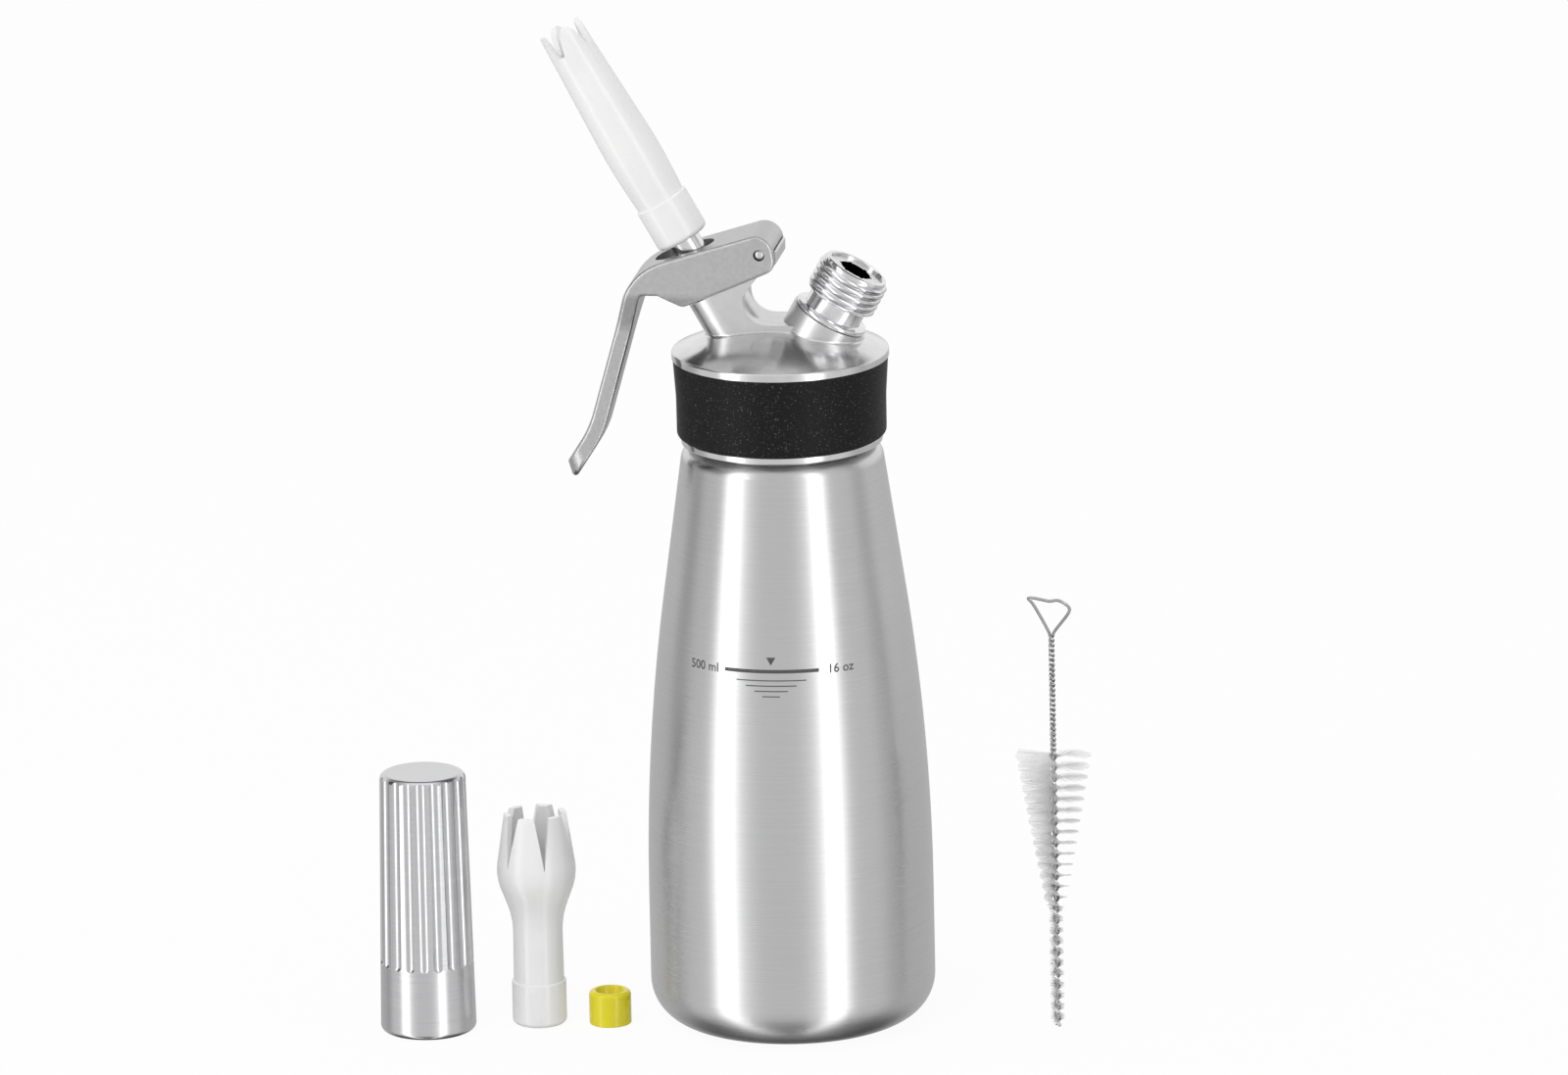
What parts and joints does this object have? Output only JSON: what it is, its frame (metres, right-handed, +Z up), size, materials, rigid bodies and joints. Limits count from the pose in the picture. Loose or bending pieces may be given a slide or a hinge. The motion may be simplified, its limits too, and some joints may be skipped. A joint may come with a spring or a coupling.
{
  "type": "cream whipper",
  "caption": "Pressure cream whipper: steel bottle, screwed head with leaning tip, press lever and charger nipple, with charger holder, tulip tip, spare end piece and brush.",
  "frame": {"origin": "on the standing plane, on the bottle's axis", "axes": "+Z up along the bottle, -X the side the tip and the lever lean to, +X the side of the charger nipple, -Y the side seen in the picture"},
  "size_m": [0.2026, 0.0808, 0.2899],
  "materials": {
    "bottle_steel": "brushed round the bottle, satin",
    "cast_aluminium": "satin casting, cap top polished",
    "lever_aluminium": "bead-blasted, satin",
    "holder_aluminium": "bright, drawn",
    "black_rubber": "matt, finely speckled",
    "grey_rubber": "matt",
    "chrome": "polished",
    "wire_steel": "drawn wire",
    "white_plastic": "smooth, slightly glossy",
    "yellow_plastic": "glossy",
    "bristle_nylon": "fine translucent nylon"
  },
  "bodies": {
    "bottle": {"bottle": "bottle_steel"},
    "gasket": {"head_gasket": "grey_rubber"},
    "head": {"head_casting": "cast_aluminium", "grip_band": "black_rubber", "charger_nipple": "chrome", "nipple_o_ring": "black_rubber", "piercing_pin": "chrome", "charger_seal": "grey_rubber", "pin_retainer": "chrome", "check_valve": "grey_rubber", "valve_spring": "wire_steel"},
    "lever": {"lever": "lever_aluminium", "lever_pin": "chrome"},
    "piston": {"valve_piston": "chrome", "piston_o_ring": "black_rubber", "valve_seal": "grey_rubber", "valve_end_piece": "yellow_plastic"},
    "straight_tip": {"straight_tip": "white_plastic", "straight_tip_insert": "chrome"},
    "holder": {"holder_shell": "holder_aluminium", "holder_sleeve": "white_plastic"},
    "tulip_tip": {"tulip_tip": "white_plastic", "tulip_tip_insert": "chrome"},
    "end_piece": {"spare_end_piece": "yellow_plastic"},
    "brush": {"brush_wire": "wire_steel", "brush_bristles": "bristle_nylon"}
  },
  "joints": [
    {"name": "head_lift", "type": "slide", "parent": "bottle", "child": "gasket", "axis": [0, 0, 1], "range_m": [0, 0.06]},
    {"name": "head_turn", "type": "hinge", "parent": "gasket", "child": "head", "pos_m": [0, 0, 0.1856], "axis": [0, 0, 1], "continuous": true},
    {"name": "lever_press", "type": "hinge", "parent": "head", "child": "lever", "pos_m": [-0.0039, 0, 0.2248], "axis": [0, -1, 0], "range_deg": [0, 10]},
    {"name": "valve_press", "type": "slide", "parent": "head", "child": "piston", "axis": [0.4924, 0, -0.8704], "range_m": [0, 0.0033], "stiffness_N_per_m": 2000, "springref_m": -0.004, "deforming": ["valve_spring"]},
    {"name": "tip_turn", "type": "hinge", "parent": "piston", "child": "straight_tip", "pos_m": [-0.02679, 0, 0.22676], "axis": [-0.4924, 0, 0.8704], "continuous": true},
    {"name": "holder_lift", "type": "slide", "parent": "bottle", "child": "holder", "axis": [0, 0, 1], "range_m": [0, 0.06]},
    {"name": "tulip_lift", "type": "slide", "parent": "bottle", "child": "tulip_tip", "axis": [0, 0, 1], "range_m": [0, 0.06]},
    {"name": "end_piece_lift", "type": "slide", "parent": "bottle", "child": "end_piece", "axis": [0, 0, 1], "range_m": [0, 0.06]},
    {"name": "brush_lift", "type": "slide", "parent": "bottle", "child": "brush", "axis": [0, 0, 1], "range_m": [0, 0.04]}
  ],
  "couplings": [
    {"joint": "lever_press", "follows": "valve_press", "rad_per_m": 52.751}
  ]
}
